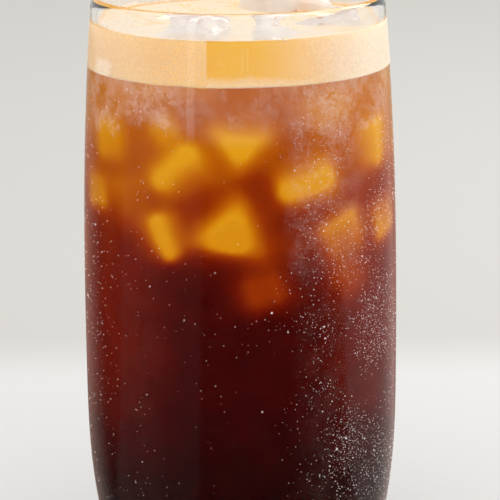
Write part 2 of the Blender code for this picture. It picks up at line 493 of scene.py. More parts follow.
def scatter_tree():
    """Geometry Nodes that strew small domes over a surface by its wetness."""
    inputs = [
        ("Surface", "NodeSocketGeometry", None),
        ("Most per Square Metre", "NodeSocketFloat", 1e6),
        ("Least Gap", "NodeSocketFloat", 0.0002),
        ("Smallest", "NodeSocketFloat", 0.0001),
        ("Largest", "NodeSocketFloat", 0.0003),
        ("Size Power", "NodeSocketFloat", 2.0),
        ("Flatness", "NodeSocketFloat", 0.6),
        ("Sink", "NodeSocketFloat", 0.0),
        ("Round Steps", "NodeSocketInt", 8),
        ("Rings", "NodeSocketInt", 5),
        ("Seed", "NodeSocketInt", 1),
        ("Material", "NodeSocketMaterial", None),
    ]
    found = bpy.data.node_groups.get("Strewn domes")
    if found is not None:
        return found
    graph, come, go = new_group(
        "Strewn domes", "GeometryNodeTree", inputs, [("Domes", "NodeSocketGeometry")]
    )
    wet = graph.node("GeometryNodeInputNamedAttribute", data_type="FLOAT")
    wet.inputs["Name"].default_value = "wetness"
    points = graph.node("GeometryNodeDistributePointsOnFaces", distribute_method="POISSON")
    graph.feed(points.inputs["Mesh"], come.outputs["Surface"])
    graph.feed(points.inputs["Distance Min"], come.outputs["Least Gap"])
    graph.feed(points.inputs["Density Max"], come.outputs["Most per Square Metre"])
    graph.feed(points.inputs["Density Factor"], wet.outputs["Attribute"])
    graph.feed(points.inputs["Seed"], come.outputs["Seed"])
    ball = graph.node("GeometryNodeMeshUVSphere")
    graph.feed(ball.inputs["Segments"], come.outputs["Round Steps"])
    graph.feed(ball.inputs["Rings"], come.outputs["Rings"])
    ball.inputs["Radius"].default_value = 1.0
    luck = graph.node("FunctionNodeRandomValue", data_type="FLOAT")
    graph.feed(luck.inputs["Seed"], come.outputs["Seed"])
    luck_value = next(o for o in luck.outputs if o.enabled)
    power = graph.maths("POWER", luck_value, come.outputs["Size Power"])
    spread = graph.maths("SUBTRACT", come.outputs["Largest"], come.outputs["Smallest"])
    size = graph.maths("ADD", come.outputs["Smallest"], graph.maths("MULTIPLY", power, spread))
    flat = graph.maths("MULTIPLY", size, come.outputs["Flatness"])
    scale = graph.call("ShaderNodeCombineXYZ", {"X": size, "Y": size, "Z": flat})
    placed = graph.call(
        "GeometryNodeInstanceOnPoints",
        {
            "Points": points.outputs["Points"],
            "Instance": ball.outputs["Mesh"],
            "Rotation": points.outputs["Rotation"],
            "Scale": scale,
        },
    )
    deep = graph.maths("MULTIPLY", flat, graph.maths("MULTIPLY", come.outputs["Sink"], -1.0))
    inputs = {"Instances": placed, "Translation": graph.call("ShaderNodeCombineXYZ", {"Z": deep})}
    sunk = graph.call("GeometryNodeTranslateInstances", inputs)
    smooth = graph.call("GeometryNodeSetShadeSmooth", {"Geometry": sunk})
    whole = graph.call("GeometryNodeRealizeInstances", {"Geometry": smooth})
    inputs = {"Geometry": whole, "Material": come.outputs["Material"]}
    graph.feed(go.inputs[0], graph.call("GeometryNodeSetMaterial", inputs))
    return graph.tree


def placed_tree():
    """Geometry Nodes that put a master shape on every point, by its own turn and size."""
    inputs = [
        ("Points", "NodeSocketGeometry", None),
        ("Master", "NodeSocketObject", None),
        ("Warp", "NodeSocketFloat", 0.0008),
        ("Warp Scale", "NodeSocketFloat", 90.0),
        ("Material", "NodeSocketMaterial", None),
    ]
    graph, come, go = new_group(
        "Placed shapes", "GeometryNodeTree", inputs, [("Shapes", "NodeSocketGeometry")]
    )
    turn = graph.node("GeometryNodeInputNamedAttribute", data_type="FLOAT_VECTOR")
    turn.inputs["Name"].default_value = "turn"
    size = graph.node("GeometryNodeInputNamedAttribute", data_type="FLOAT")
    size.inputs["Name"].default_value = "edge"
    master = graph.node("GeometryNodeObjectInfo")
    graph.feed(master.inputs["Object"], come.outputs["Master"])
    angle = graph.call("FunctionNodeEulerToRotation", {0: turn.outputs["Attribute"]})
    placed = graph.call(
        "GeometryNodeInstanceOnPoints",
        {
            "Points": come.outputs["Points"],
            "Instance": master.outputs["Geometry"],
            "Rotation": angle,
            "Scale": size.outputs["Attribute"],
        },
    )
    whole = graph.call("GeometryNodeRealizeInstances", {"Geometry": placed})
    inputs = {"Scale": come.outputs["Warp Scale"], "Detail": 1.0}
    cloud = graph.call("ShaderNodeTexNoise", inputs, 1)
    push = graph.vector("SUBTRACT", cloud, (0.5, 0.5, 0.5))
    push = graph.call(
        "ShaderNodeVectorMath", {0: push, "Scale": come.outputs["Warp"]}, operation="SCALE"
    )
    warped = graph.call("GeometryNodeSetPosition", {"Geometry": whole, "Offset": push})
    inputs = {"Geometry": warped, "Material": come.outputs["Material"]}
    graph.feed(go.inputs[0], graph.call("GeometryNodeSetMaterial", inputs))
    return graph.tree


def melted_cube(edge, rounding, cuts, drift=None, dimple=0.0, seed=0.0):
    """Points and faces of a cube with rounded edges, drifted corners and dimpled faces."""
    shape = bmesh.new()
    bmesh.ops.create_cube(shape, size=2.0)
    bmesh.ops.subdivide_edges(shape, edges=shape.edges, cuts=cuts, use_grid_fill=True)
    keep = 1.0 - rounding
    for point in shape.verts:
        core = Vector(max(-keep, min(keep, n)) for n in point.co)
        place = core + (point.co - core).normalized() * rounding if rounding else point.co
        share = place.copy()
        if drift:
            moved = Vector()
            for signs, offset in drift:
                weight = math.prod(0.5 * (1.0 + s * n) for s, n in zip(signs, share))
                moved += offset * weight
            place = place + moved
        dent = noise.noise(place * 1.6 + Vector((seed, 0.0, seed))) * dimple
        dent += noise.noise(place * 4.0 + Vector((0.0, seed, seed))) * dimple * 0.35
        point.co = (place + place.normalized() * dent) * edge / 2
    return shape


def corner_drifts(random_source):
    """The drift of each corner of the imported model's cube, in half edges."""
    shape = bmesh.new()
    bmesh.ops.create_cube(shape, size=2.0)
    drifts = []
    for corner in shape.verts:
        offset = Vector(random_source.uniform(-1, 1) for _ in range(3)) * CORNER_DRIFT * 2.0
        drifts.append((tuple(corner.co), offset))
    shape.free()
    return drifts


def ice_finish():
    """Wet ice: clear towards its faces, with white cloud in it."""
    made, graph, shader = material(
        "wet_ice", Roughness=0.03, IOR=1.31, Transmission_Weight=0.6
    )
    _, _, place = place_of(graph)
    cloud = graph.noisy(place, 150.0, 3.0, 0.6)
    cloudy = graph.ranged(cloud, 0.42, 0.62)
    colour = graph.mixed(cloudy, (0.94, 0.95, 0.955, 1.0), (1.0, 1.0, 1.0, 1.0))
    # Painted see-through: brown spots stand in for the coffee seen through the ice.
    painted_see_through = graph.ranged(graph.noisy(place, 230.0, 2.0), 0.66, 0.72)
    colour = graph.mixed(graph.maths("MULTIPLY", painted_see_through, 0.8), colour, (0.62, 0.27, 0.07, 1.0))
    graph.feed(shader.inputs["Base Color"], colour)
    fine = graph.noisy(place, 420.0, 2.0)
    bumped(graph, shader, fine, 0.35, 0.0002)
    let_light_through(made, graph, shader)
    return made


def glass_finish():
    """Clear soda glass with the faint waviness of pressed ware."""
    tint = tuple(bpy.context.scene.tumbler.tint)
    made, graph, shader = material(
        "clear_soda_glass", Roughness=0.0, IOR=1.5, Transmission_Weight=1.0,
        Base_Color=(*tint, 1.0),
    )
    _, _, place = place_of(graph)
    bumped(graph, shader, graph.noisy(place, 38.0, 2.0), 0.25, 0.0004)
    let_light_through(made, graph, shader)
    return made


def coffee_finish():
    """Black coffee, its colour painted with light: amber where ice behind it sends light back."""
    made, graph, shader = material("black_coffee_glow", Roughness=0.9)
    shader.inputs["Specular IOR Level"].default_value = 0.0
    turn, height, place = place_of(graph)
    # The stored attribute is painted light: the glow of ice behind the coffee and the light of foam
    # and windows, turned to colour by the ramp below.
    near = graph.node("ShaderNodeAttribute", attribute_name="painted_glow").outputs["Fac"]
    drift = graph.maths("SUBTRACT", graph.noisy(place, 120.0, 3.0, 0.6), 0.5)
    near = graph.maths("ADD", near, graph.maths("MULTIPLY", drift, 0.08))
    glow = graph.ramp(near, (
        (0.00, (0.0090, 0.0012, 0.0014)),
        (0.06, (0.0220, 0.0008, 0.0008)),
        (0.12, (0.0480, 0.0010, 0.0007)),
        (0.22, (0.1450, 0.0060, 0.0006)),
        (0.33, (0.3000, 0.0300, 0.0006)),
        (0.45, (0.4900, 0.1100, 0.0010)),
        (0.58, (0.6500, 0.2250, 0.0030)),
        (0.72, (0.7700, 0.3400, 0.0090)),
        (0.88, (0.8300, 0.4200, 0.0300)),
    ))
    graph.feed(shader.inputs["Base Color"], glow)
    return made


def foam_finish():
    """Fine golden coffee foam with pale and brown specks."""
    settings = bpy.context.scene.drink
    made, graph, shader = material("golden_foam", Roughness=0.75)
    shader.inputs["Specular IOR Level"].default_value = 0.0
    turn, height, place = place_of(graph)
    broad = graph.noisy(place, 70.0, 3.0)
    colour = graph.mixed(
        graph.ranged(broad, 0.35, 0.65), (*settings.foam_colour, 1.0), (*settings.foam_pale, 1.0)
    )
    split = graph.node("ShaderNodeSeparateXYZ")
    graph.feed(split.inputs[0], place)
    flat = graph.call("ShaderNodeCombineXYZ", {"X": split.outputs["X"], "Y": split.outputs["Y"]})
    flat = graph.call("ShaderNodeVectorMath", {0: flat}, 1, operation="LENGTH")
    inside = (inner_radius(FOAM_TOP) - 0.0003, inner_radius(FOAM_TOP) - 0.0012)
    inward = graph.ranged(flat, inside[1], inside[0], 1.0, 0.0)
    patches = graph.ranged(graph.noisy(place, 110.0, 4.0, 0.6), 0.50, 0.66, 1.0, 0.6)
    upper = graph.maths("MULTIPLY", inward, patches)
    colour = graph.mixed(upper, colour, (*settings.foam_top, 1.0))
    specks = graph.call("ShaderNodeTexVoronoi", {"Vector": place, "Scale": 700.0})
    speck = graph.ranged(specks, 0.10, 0.22, 1.0, 0.0)
    rare = graph.ranged(graph.noisy(place, 260.0, 2.0), 0.56, 0.68)
    dark = graph.maths("MULTIPLY", graph.maths("MULTIPLY", speck, rare), 0.35)
    colour = graph.mixed(dark, colour, (0.66, 0.27, 0.04, 1.0))
    graph.feed(shader.inputs["Base Color"], colour)
    bumped(graph, shader, specks, 0.25, 0.0001)
    return made


def build_shift(graph, come, go):
    """A value moved by a slow noise and a fine one, so that what it bounds ends raggedly."""
    slow = graph.noisy(come.outputs["Place"], come.outputs["Scale"], 3.0, 0.6)
    fine = graph.noisy(come.outputs["Place"], 900.0, 3.0, 0.7)
    both = graph.maths("ADD", slow, graph.maths("MULTIPLY", fine, 0.5))
    both = graph.maths("SUBTRACT", both, 0.75)
    both = graph.maths("MULTIPLY", both, come.outputs["Amount"])
    graph.feed(go.inputs["Value"], graph.maths("ADD", come.outputs["Value"], both))


def shifted(graph, place, value, amount, scale):
    inputs = [
        ("Place", "NodeSocketVector", None),
        ("Value", "NodeSocketFloat", 0.0),
        ("Amount", "NodeSocketFloat", 1.0),
        ("Scale", "NodeSocketFloat", 100.0),
    ]
    tree = shader_group("Ragged value", build_shift, inputs, [("Value", "NodeSocketFloat")])
    made = graph.node("ShaderNodeGroup", node_tree=tree)
    for name, fed in (("Place", place), ("Value", value), ("Amount", amount), ("Scale", scale)):
        graph.feed(made.inputs[name], fed)
    return made.outputs["Value"]


def times(graph, *values):
    total = values[0]
    for value in values[1:]:
        total = graph.maths("MULTIPLY", total, value)
    return total


def either(graph, *values):
    total = values[0]
    for value in values[1:]:
        total = graph.maths("MAXIMUM", total, value)
    return total


def dew_on_foam(graph, turn, height, place):
    """Dew over the foam: a wiped window left of the middle, thicker at both sides."""
    ragged_turn = shifted(graph, place, turn, 10.0, 110.0)
    ragged_height = shifted(graph, place, height, 3.0, 150.0)
    to_right = graph.ranged(ragged_turn, 0.0, 58.0, 0.03, 0.66)
    lower = times(graph, band(graph, ragged_height, 120.0, 124.6, 0.5, 3.0), 0.36)
    to_left = graph.ranged(ragged_turn, -52.0, -22.0, 0.36, 0.26)
    wiped = band(graph, turn, -11.3, 120.0, 0.4, 20.0)
    lines = either(graph, band(graph, turn, 1.2, 1.5, 0.6), band(graph, turn, 3.1, 3.4, 0.6))
    lines = times(graph, lines, band(graph, height, 127.5, 132.0, 2.0), 0.10)
    blotch = times(
        graph, band(graph, ragged_turn, -63.0, -58.0, 12.0),
        band(graph, ragged_height, 124.5, 126.5, 4.0), 0.62,
    )
    both = graph.mixed_value(wiped, to_left, either(graph, to_right, lower, lines))
    fine = graph.ranged(graph.noisy(place, 1500.0, 3.0, 0.7), 0.3, 0.7, 0.9, 1.1)
    return times(
        graph, band(graph, height, 124.15, 134.3, 0.3, 0.6), either(graph, both, blotch), fine
    )


def dew_haze(graph, turn, height, place):
    """Mottled haze on the coffee under the foam, with a clear spot and ragged holes."""
    ragged_height = shifted(graph, place, height, 14.0, 130.0)
    left_end = graph.ranged(turn, -75.0, -10.0, 114.6, 117.5)
    left_end = graph.ranged(turn, 8.0, 40.0, left_end, 114.0)
    mottled = graph.noisy(place, 190.0, 6.0, 0.72)
    amount = graph.ranged(mottled, 0.34, 0.62, 0.015, 0.165)
    fine = graph.noisy(place, 1300.0, 4.0, 0.8)
    amount = times(graph, amount, graph.ranged(fine, 0.32, 0.66, 0.45, 1.4))
    to_middle = band(graph, turn, -14.0, 14.0, 12.0, 14.0)
    amount = times(graph, amount, graph.ranged(to_middle, 0.0, 1.0, 1.0, 0.45))
    holes = graph.ranged(graph.noisy(place, 330.0, 6.0, 0.8), 0.55, 0.62, 1.0, 0.12)
    haze = times(graph, band(graph, ragged_height, left_end, 130.0, 4.0), amount, holes)
    ragged_turn = shifted(graph, place, turn, 16.0, 170.0)
    clear = times(
        graph, band(graph, ragged_turn, -4.0, 7.0, 3.5),
        band(graph, ragged_height, 120.2, 124.2, 2.0), 0.97,
    )
    return times(graph, haze, graph.maths("SUBTRACT", 1.0, clear))


def dew_grain(graph, turn, height, place):
    """Drops too fine to stand out one by one, mostly on the right."""
    fine = graph.noisy(place, 2600.0, 3.0, 0.6)
    drops = graph.ranged(fine, 0.46, 0.66, 0.25, 1.0)
    clumps = graph.ranged(graph.noisy(place, 260.0, 5.0, 0.75), 0.36, 0.64, 0.2, 1.0)
    upper = times(
        graph, band(graph, turn, 22.0, 42.0, 9.0, 16.0),
        band(graph, height, 90.0, 116.0, 16.0, 6.0), 0.17,
    )
    right = times(
        graph, band(graph, turn, 34.0, 100.0, 22.0, 40.0),
        band(graph, height, 14.0, 118.0, 10.0, 8.0), 0.045,
    )
    left = times(
        graph, band(graph, turn, -100.0, -36.0, 40.0, 14.0),
        band(graph, height, 14.0, 118.0, 10.0, 8.0), 0.02,
    )
    grain = times(graph, drops, clumps, either(graph, upper, right, left, 0.006))
    rim_light = graph.node("ShaderNodeLayerWeight")
    rim_light.inputs["Blend"].default_value = 0.5
    edge = graph.ranged(rim_light.outputs["Facing"], 0.50, 1.0, 0.0, 0.16)
    return either(graph, grain, times(graph, edge, graph.ranged(height, 4.0, 14.0)))


def dew_alpha(graph):
    """How white the dew on the outside is, by turn and height."""
    turn, height, place = place_of(graph)
    parts = [make(graph, turn, height, place) for make in (dew_on_foam, dew_haze, dew_grain)]
    return either(graph, *parts)


def dew_finish():
    """A breath of white dew, thick or thin by its alpha, with the warm light of what it covers
    painted into its colour.
    """
    made, graph, shader = material("white_dew", Roughness=0.9)
    shader.inputs["Specular IOR Level"].default_value = 0.0
    turn, height, place = place_of(graph)
    # Painted light: the dew is tinted pink over the coffee and cream over the foam, for the light
    # that comes through it from behind.
    colour = graph.mixed(
        graph.ranged(height, 100.0, 114.0), (0.98, 0.78, 0.69, 1.0), (0.97, 0.945, 0.92, 1.0)
    )
    over_foam = graph.ranged(height, 123.6, 124.2)
    colour = graph.mixed(over_foam, colour, (1.0, 0.94, 0.80, 1.0))
    graph.feed(shader.inputs["Base Color"], colour)
    graph.feed(shader.inputs["Alpha"], dew_alpha(graph))
    return made


def residue_finish():
    """Thin beige foam left on the inside of the glass above the drink."""
    made, graph, shader = material(
        "beige_residue", Roughness=0.8, Base_Color=(0.90, 0.82, 0.745, 1.0)
    )
    shader.inputs["Specular IOR Level"].default_value = 0.0
    turn, height, place = place_of(graph)
    level = shifted(graph, place, height, 3.0, 140.0)
    cling = graph.ranged(shifted(graph, place, turn, 30.0, 90.0), -66.0, -40.0, 0.9, 0.0)
    alpha = graph.ranged(level, 134.6, 139.5, 0.42, 0.12)
    alpha = either(graph, alpha, times(graph, cling, graph.ranged(level, 134.4, 135.4, 1.0, 0.0)))
    graph.feed(shader.inputs["Alpha"], alpha)
    return made


def drop_finish():
    """Water beads, a little white inside."""
    made, graph, shader = material(
        "dew_bead", Roughness=0.35, IOR=1.33, Transmission_Weight=0.72,
        Base_Color=(1.0, 0.98, 0.97, 1.0),
    )
    let_light_through(made, graph, shader)
    return made


def bubble_finish():
    """Foam bubbles, amber and glossy."""
    made, graph, shader = material(
        "foam_bubble", Roughness=0.25, Base_Color=(0.90, 0.56, 0.16, 1.0)
    )
    _, _, place = place_of(graph)
    colour = graph.mixed(
        graph.noisy(place, 300.0), (0.95, 0.76, 0.50, 1.0), (0.84, 0.55, 0.24, 1.0)
    )
    graph.feed(shader.inputs["Base Color"], colour)
    return made


class TumblerSettings(PropertyGroup):
    height: FloatProperty(
        name="Height", description="Height of the glass", default=CAD_BOX[1].z, unit="LENGTH"
    )
    rim_radius: FloatProperty(
        name="Rim radius", description="Outer radius of the lip", default=0.0341, unit="LENGTH"
    )
    lip_height: FloatProperty(
        name="Lip height", description="How far the lip's rounding reaches down outside",
        default=0.0023, unit="LENGTH",
    )
    lip_outside: FloatProperty(
        name="Lip outside", description="Share of the wall that the outer rounding takes",
        default=0.6, min=0.1, max=0.9, subtype="FACTOR",
    )
    turn_steps: IntProperty(
        name="Turn steps", description="Steps round the glass", default=200, min=24
    )
    tint: FloatVectorProperty(
        name="Tint", description="Colour of the glass", subtype="COLOR",
        default=(0.985, 0.992, 0.988), min=0.0, max=1.0,
    )


class DrinkSettings(PropertyGroup):
    foam_bottom: FloatProperty(
        name="Foam bottom", description="Height of the foam's underside",
        default=FOAM_BOX[0].z, unit="LENGTH",
    )
    foam_colour: FloatVectorProperty(
        name="Foam", description="Main colour of the foam", subtype="COLOR",
        default=(0.86, 0.425, 0.018), min=0.0, max=1.0,
    )
    foam_pale: FloatVectorProperty(
        name="Pale foam", description="Colour of the paler foam", subtype="COLOR",
        default=(0.89, 0.46, 0.030), min=0.0, max=1.0,
    )
    foam_top: FloatVectorProperty(
        name="Foam top", description="Colour of the foam's drier top", subtype="COLOR",
        default=(0.80, 0.655, 0.49), min=0.0, max=1.0,
    )
    bubbles_per_area: FloatProperty(
        name="Bubbles", description="Most bubbles in a square metre of foam", default=1.2e6
    )


class IceSettings(PropertyGroup):
    melt: FloatProperty(
        name="Melt", description="Rounding of the edges, as a share of half an edge",
        default=0.42, min=0.05, max=0.9, subtype="FACTOR",
    )
    dimple: FloatProperty(
        name="Dimples", description="Unevenness of the faces, as a share of half an edge",
        default=0.05, min=0.0, max=0.2, subtype="FACTOR",
    )
    back_seed: IntProperty(
        name="Seed", description="Seed for the ice that the front does not show", default=5
    )


class DewSettings(PropertyGroup):
    beads_per_area: FloatProperty(
        name="Beads", description="Most beads in a square metre of wet glass", default=4.0e6
    )
    smallest: FloatProperty(
        name="Smallest bead", description="Radius of the smallest bead",
        default=0.00005, unit="LENGTH",
    )
    largest: FloatProperty(
        name="Largest bead", description="Radius of the largest bead",
        default=0.00015, unit="LENGTH",
    )


class StageSettings(PropertyGroup):
    light: FloatProperty(
        name="Light", description="Strength of the even studio light", default=1.10, min=0.0
    )
    table: FloatVectorProperty(
        name="Table", description="Colour of the table", subtype="COLOR",
        default=(0.675, 0.675, 0.670), min=0.0, max=1.0,
    )
    wall: FloatVectorProperty(
        name="Wall", description="Colour of the wall behind", subtype="COLOR",
        default=(0.572, 0.561, 0.540), min=0.0, max=1.0,
    )


class ICEDDRINK_OT_tumbler(Operator):
    """Make the clear barrel-sided glass"""

    bl_idname = "iced_drink.tumbler"
    bl_label = "Tumbler"

    def execute(self, context):
        settings = context.scene.tumbler
        top = settings.height
        share = settings.lip_outside
        outer_deep, inner_deep = RIM_WALL * share, RIM_WALL * (1.0 - share)
        outer_tall, inner_tall = settings.lip_height, settings.lip_height * 0.5
        lip = []
        for a in steps(0.0, math.pi / 2, 12):
            z = top - inner_tall * (1.0 - math.sin(a))
            lip.append((inner_radius(z) + inner_deep * (1.0 - math.cos(a)), z))
        for a in steps(math.pi / 2, 0.0, 20)[1:]:
            z = top - outer_tall * (1.0 - math.sin(a))
            lip.append((outer_radius(z) - outer_deep * (1.0 - math.cos(a)), z))
        heel_middle = (outer_radius(HEEL_RADIUS) - HEEL_RADIUS, HEEL_RADIUS)
        heel = [
            (heel_middle[0] + HEEL_RADIUS * math.cos(a), HEEL_RADIUS * (1.0 + math.sin(a)))
            for a in steps(0.0, -math.pi / 2, 8)
        ]
        bowl = bowl_heights(16)
        inside = [(0.0, FLOOR_HEIGHT)] + [(inner_radius(z), z) for z in bowl[1:]]
        inside += [(inner_radius(z), z) for z in steps(bowl[-1], lip[0][1], 48)[1:-1]]
        outside = [(outer_radius(z), z) for z in steps(lip[-1][1], HEEL_RADIUS, 60)[1:-1]]
        foot = [(0.0235, 0.0), (0.0215, 0.0004), (0.012, 0.0007), (0.0, 0.0008)]
        profile = inside + lip + outside + heel + foot
        piece = turned("tumbler", profile, settings.turn_steps, glass_finish())
        settle(piece, "clear_glass", "glass")
        return {"FINISHED"}


def point_cloud(name, places):
    """A mesh of loose points with a turn and an edge for each."""
    mesh = bpy.data.meshes.new(name)
    mesh.from_pydata([place for place, _, _ in places], [], [])
    mesh.attributes.new("turn", "FLOAT_VECTOR", "POINT")
    mesh.attributes.new("edge", "FLOAT", "POINT")
    for n, (_, turn, edge) in enumerate(places):
        mesh.attributes["turn"].data[n].vector = turn
        mesh.attributes["edge"].data[n].value = edge
    return mesh


def nosed_place(turn, height, press, edge, roll, lean, towards):
    """Centre, Euler turn and edge of a cube with its nearest part at that place."""
    angle = math.radians(turn)
    outward = Vector((math.sin(angle), -math.cos(angle), 0.0))
    beside = Vector((math.cos(angle), math.sin(angle), 0.0))
    upward = Vector((0.0, 0.0, 1.0))
    to_world = Matrix((beside, upward, outward)).transposed()
    away = Matrix.Rotation(math.radians(towards), 3, "Z")
    tip = away @ Matrix.Rotation(math.radians(lean), 3, "Y") @ away.transposed()
    spin = to_world @ tip @ Matrix.Rotation(math.radians(roll), 3, "Z")
    facing = spin.transposed() @ outward
    rounded = bpy.context.scene.ice.melt * edge / 2
    core = edge / 2 - rounded
    nose = spin @ Vector(core * max(-1.0, min(1.0, n / 0.3)) for n in facing)
    reach = core * sum(abs(n) for n in facing) + rounded
    touched = on_wall(turn, height, inner_radius(height) + press - reach)
    return touched - nose + outward * nose.dot(outward), Vector(spin.to_euler()), edge


def sunk_places():
    """The ice that shows, then ice round the back and in the middle, kept clear of it."""
    luck = random.Random(bpy.context.scene.ice.back_seed)
    placed = [
        nosed_place(turn, height * MM, press * MM, edge * MM, roll, lean, towards)
        for turn, height, press, edge, roll, lean, towards in SUNK_ICE
    ]
    taken = [(centre, edge) for centre, _, edge in placed]
    taken += [(Vector(centre), edge) for _, _, edge, centre, _ in FLOATING_ICE]
    for attempt in range(900):
        outer = attempt % 3 > 0
        turn = luck.uniform(88, 272) if outer else luck.uniform(-180, 180)
        height = luck.uniform(80, 113) * MM
        press = luck.uniform(-2.5, 1.5) * MM if outer else luck.uniform(-28, -15) * MM
        edge = luck.uniform(11.0, 14.5) * MM
        lean = luck.choice((10, 28, 40, 54.7))
        found = nosed_place(
            turn, height, press, edge, luck.uniform(0, 90), lean, luck.uniform(0, 360)
        )
        if all((found[0] - centre).length > 0.60 * (edge + other) for centre, other in taken):
            placed.append(found)
            taken.append((found[0], edge))
    return placed


class ICEDDRINK_OT_sunk_ice(Operator):
    """Make the ice that is under the foam"""

    bl_idname = "iced_drink.sunk_ice"
    bl_label = "Sunk Ice"

    def execute(self, context):
        settings = context.scene.ice
        shape = melted_cube(1.0, settings.melt, 9)
        mesh = bpy.data.meshes.new("master_cube")
        shape.to_mesh(mesh)
        shape.free()
        mesh.shade_smooth()
        master = new_piece("master_cube", mesh)
        piece = new_piece("sunk_cubes", point_cloud("sunk_cubes", sunk_places()))
        values = {"Master": master, "Warp": 0.0016, "Material": ice_finish()}
        run_nodes(piece, placed_tree(), values)
        bpy.data.objects.remove(master)
        face_outwards(piece)
        for point in piece.data.vertices:
            most = inner_radius(point.co.z) - MELT_GAP
            radius = math.hypot(point.co.x, point.co.y)
            if radius > most:
                point.co.xy *= most / radius
        settle(piece, "ice")
        return {"FINISHED"}


class ICEDDRINK_OT_floating_ice(Operator):
    """Make the cubes that float through the foam"""

    bl_idname = "iced_drink.floating_ice"
    bl_label = "Floating Ice"

    def execute(self, context):
        settings = context.scene.ice
        finish = bpy.data.materials.get("wet_ice") or ice_finish()
        random_source = random.Random(FLOATING_SEED)
        for number, (node, name, edge, centre, turn) in enumerate(FLOATING_ICE):
            drifts = corner_drifts(random_source)
            shape = melted_cube(
                edge, settings.melt, 18, drifts, settings.dimple, 3.7 * (number + 1)
            )
            spin = Euler([math.radians(a) for a in turn]).to_matrix().to_4x4()
            shape.transform(Matrix.Translation(centre) @ spin)
            mesh = bpy.data.meshes.new(name)
            shape.to_mesh(mesh)
            shape.free()
            mesh.shade_smooth()
            mesh.materials.append(finish)
            settle(new_piece(name, mesh), "ice", node)
        return {"FINISHED"}


def cut_round_ice(piece, shrink):
    """Cut the floating cubes, shrunk a little, out of a piece that fills the glass."""
    cutters = []
    for _, name, _, centre, _ in FLOATING_ICE:
        source = bpy.data.objects[name]
        mesh = source.data.copy()
        middle = Vector(centre)
        for point in mesh.vertices:
            point.co -= (point.co - middle).normalized() * shrink
        cutter = new_piece(name + "_cutter", mesh)
        modifier = piece.modifiers.new(name, "BOOLEAN")
        modifier.operation = "DIFFERENCE"
        modifier.solver = "EXACT"
        modifier.object = cutter
        cutters.append(cutter)
    plain_mesh(piece)
    for cutter in cutters:
        bpy.data.objects.remove(cutter)


def ice_tree():
    """One tree of every ice face, for measuring how near the ice is."""
    points, faces = [], []
    for piece in bpy.data.objects:
        if piece.name.startswith(("float_cube", "sunk_cubes")):
            first = len(points)
            points += [v.co.copy() for v in piece.data.vertices]
            faces += [[first + n for n in p.vertices] for p in piece.data.polygons]
    return BVHTree.FromPolygons(points, faces)


def look_directions(count):
    """Directions within a cone about -Z, spread evenly by the golden angle."""
    made = []
    for n in range(count):
        tilt = math.radians(34.0) * math.sqrt((n + 0.5) / count)
        spin = n * math.pi * (3.0 - math.sqrt(5.0))
        made.append(
            (math.sin(tilt) * math.cos(spin), math.sin(tilt) * math.sin(spin), math.cos(tilt))
        )
    return made


def smooth(value, low, high):
    """Nothing below low, one above high, and a smooth rise between them."""
    share = max(0.0, min(1.0, (value - low) / (high - low)))
    return share * share * (3.0 - 2.0 * share)


def painted_coffee_light(place):
    """Light painted into the coffee's colour: from the foam above it, the windows beside it and a
    band at the sides, fainter deeper down.
    """
    under = max(0.0, (bpy.context.scene.drink.foam_bottom - place.z) / MM)
    turn = abs(turn_of(place))
    beside = smooth(turn, 12, 58) * (1.0 - smooth(turn, 122, 168))
    body = (0.118 + 0.105 * beside) / (1.0 + math.exp((under - 86.0) / 10.0))
    edge = smooth(turn, 64, 90) * (1.0 - smooth(turn, 96, 122))
    return body + 0.12 * edge + 0.30 * math.exp(-((under / 22.0) ** 1.8))


def ice_light(tree, cone, place):
    """Share of the light that goes in at a place on the wall and comes back from ice."""
    radius = math.hypot(place.x, place.y)
    inward = Vector((-place.x / radius, -place.y / radius, -0.16)).normalized()
    side = Vector((place.y / radius, -place.x / radius, 0.0))
    rise = inward.cross(side)
    total = 0.0
    for x, y, z in cone:
        _, normal, _, reach = tree.ray_cast(place, side * x + rise * y + inward * z, 0.030)
        if reach is not None:
            facing = 0.72 + 0.28 * max(-1.0, min(1.0, normal.z * 0.9 + 0.5))
            total += math.exp(-(0.28 + 0.28 * reach / MM)) * facing
    return total / len(cone)


def mark_painted_glow(piece, rays=24):
    """Store on each point how much light comes back out of the coffee, as painted light for its
    colour.
    """
    tree = ice_tree()
    cone = look_directions(rays)
    values = []
    for point in piece.data.vertices:
        light = painted_coffee_light(point.co)
        if point.co.xy.length > 0.012 and point.co.z > 0.062:
            light += (1.0 - light) * ice_light(tree, cone, point.co)
        values.append(light)
    attribute = piece.data.attributes.new("painted_glow", "FLOAT", "POINT")
    attribute.data.foreach_set("value", values)


class ICEDDRINK_OT_coffee(Operator):
    """Make the coffee that fills the glass up to the foam"""

    bl_idname = "iced_drink.coffee"
    bl_label = "Coffee"

    def execute(self, context):
        foam_bottom = context.scene.drink.foam_bottom
        top = foam_bottom + 0.0007
        bowl = bowl_heights(18)
        profile = [(0.0, FLOOR_HEIGHT - COFFEE_REACH)]
        profile += [(inner_radius(z) + COFFEE_REACH, z - COFFEE_REACH) for z in bowl[1:]]
        heights = steps(bowl[-1], 0.062, 20)[1:] + steps(0.062, top, 112)[1:]
        profile += [(inner_radius(z) + COFFEE_REACH, z) for z in heights]
        reach = profile[-1][0]
        profile += [(reach * share, top) for share in steps(1.0, 0.0, 12)[1:]]
        piece = turned("coffee_body", profile, 320, coffee_finish())
        cut_round_ice(piece, 0.00006)
        mark_painted_glow(piece)
        settle(piece, "black_coffee", "coffee")
        return {"FINISHED"}


